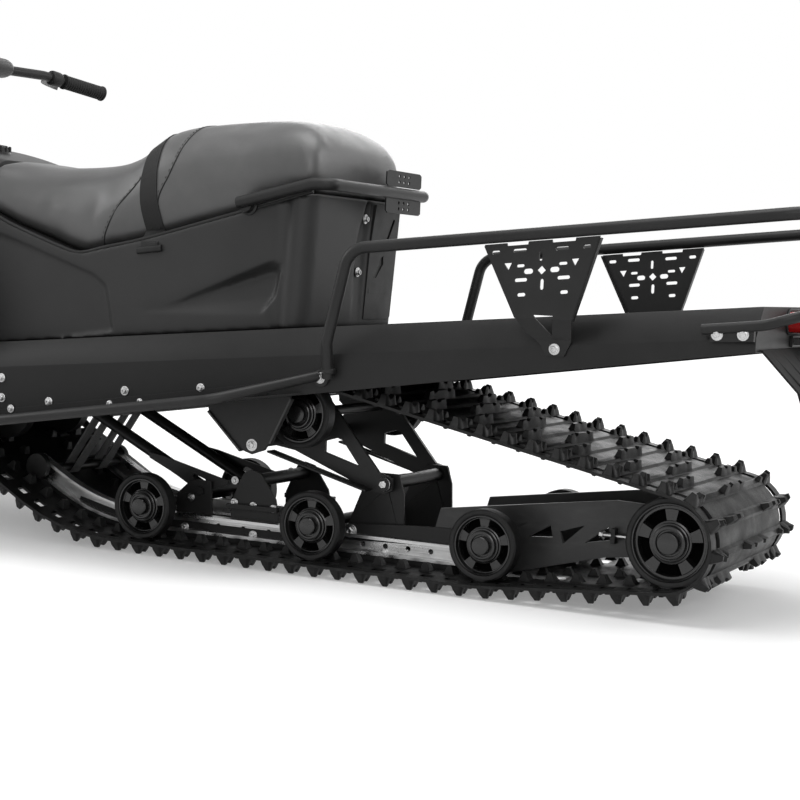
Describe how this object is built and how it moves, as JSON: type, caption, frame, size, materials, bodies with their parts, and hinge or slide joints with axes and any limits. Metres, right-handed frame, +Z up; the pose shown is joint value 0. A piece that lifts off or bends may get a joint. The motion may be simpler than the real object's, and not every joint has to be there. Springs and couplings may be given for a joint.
{
  "type": "snowmobile",
  "caption": "Long-track utility snowmobile with slide-rail track suspension, tube cargo rack, two-up seat and steered skis.",
  "frame": {"origin": "on the ground under the middle of the overall length and width", "axes": "+X forward along the length, +Y to the left-hand side, +Z up"},
  "size_m": [3.053, 1.07, 1.2462],
  "materials": {
    "track_rubber": "matt, lightly worn",
    "wheel_plastic": "moulded, satin",
    "black_steel": "satin powder coat",
    "bare_aluminium": "extruded, bare",
    "slider_plastic": "smooth",
    "strap_webbing": "woven",
    "black_aluminium": "satin powder coat",
    "flap_rubber": "matt",
    "lamp_red": "glossy",
    "body_plastic": "fine grain",
    "seat_vinyl": "grained vinyl",
    "hood_plastic": "satin gloss",
    "lamp_clear": "clear lens",
    "cast_metal": "as cast",
    "zinc_steel": "zinc plated",
    "ski_plastic": "moulded",
    "grip_rubber": "matt",
    "windshield_clear": "smoked polycarbonate"
  },
  "bodies": {
    "chassis": {"belly_pan": "body_plastic", "board_guards": "black_steel", "bulkhead": "black_aluminium", "carrier_axle": "wheel_plastic", "console": "body_plastic", "cowl": "hood_plastic", "drive_axle": "black_steel", "drop_brackets": "black_steel", "engine": "cast_metal", "front_arm": "black_steel", "front_bumper": "black_steel", "front_suspension": "black_steel", "grab_rail": "black_steel", "headlamps": "lamp_clear", "idler_axles": "wheel_plastic", "limit_straps": "strap_webbing", "rack_plates": "black_steel", "rack_rail": "black_steel", "rail_extensions": "black_steel", "rails": "bare_aluminium", "rear_arm": "black_steel", "rear_arm_pivot": "black_steel", "rear_axle": "wheel_plastic", "rear_bumper": "black_steel", "running_boards": "black_aluminium", "seat_base": "body_plastic", "seat_cushion": "seat_vinyl", "side_panels": "body_plastic", "skid_brackets": "black_steel", "sliders": "slider_plastic", "snow_flap": "flap_rubber", "tail_lamp": "lamp_red", "tip_shafts": "black_steel", "tow_hitch": "black_steel", "track": "track_rubber", "tunnel": "black_aluminium", "windshield": "windshield_clear"},
    "handlebar_group": {"steering_column": "black_steel", "handlebar": "black_steel", "grips": "grip_rubber"},
    "ski_left_group": {"spindle_left": "black_steel", "ski_left": "ski_plastic", "ski_fittings_left": "black_steel"},
    "ski_right_group": {"spindle_right": "black_steel", "ski_right": "ski_plastic", "ski_fittings_right": "black_steel"},
    "tie_rod_left_group": {"tie_rod_left": "zinc_steel"},
    "tie_rod_right_group": {"tie_rod_right": "zinc_steel"}
  },
  "joints": [
    {"name": "steering", "type": "hinge", "parent": "chassis", "child": "handlebar_group", "pos_m": [0.7565, 0, 0.56], "axis": [-0.5291, 0, 0.8486], "range_deg": [-38, 38]},
    {"name": "ski_left_steer", "type": "hinge", "parent": "chassis", "child": "ski_left_group", "pos_m": [0.9365, 0.45, 0.1], "axis": [-0.342, 0, 0.9397], "range_deg": [-30.41, 30.41]},
    {"name": "ski_right_steer", "type": "hinge", "parent": "chassis", "child": "ski_right_group", "pos_m": [0.9365, -0.45, 0.1], "axis": [-0.342, 0, 0.9397], "range_deg": [-30.41, 30.41]},
    {"name": "tie_rod_left_pivot", "type": "hinge", "parent": "ski_left_group", "child": "tie_rod_left_group", "pos_m": [0.74941, 0.45, 0.33626], "axis": [-0.342, 0, 0.9397], "range_deg": [-30.41, 30.41]},
    {"name": "tie_rod_right_pivot", "type": "hinge", "parent": "ski_right_group", "child": "tie_rod_right_group", "pos_m": [0.74941, -0.45, 0.33626], "axis": [-0.342, 0, 0.9397], "range_deg": [-30.41, 30.41]}
  ],
  "couplings": [
    {"joint": "ski_left_steer", "follows": "steering", "ratio": 0.8},
    {"joint": "ski_right_steer", "follows": "steering", "ratio": 0.8},
    {"joint": "tie_rod_left_pivot", "follows": "steering", "ratio": -0.8},
    {"joint": "tie_rod_right_pivot", "follows": "steering", "ratio": -0.8}
  ]
}
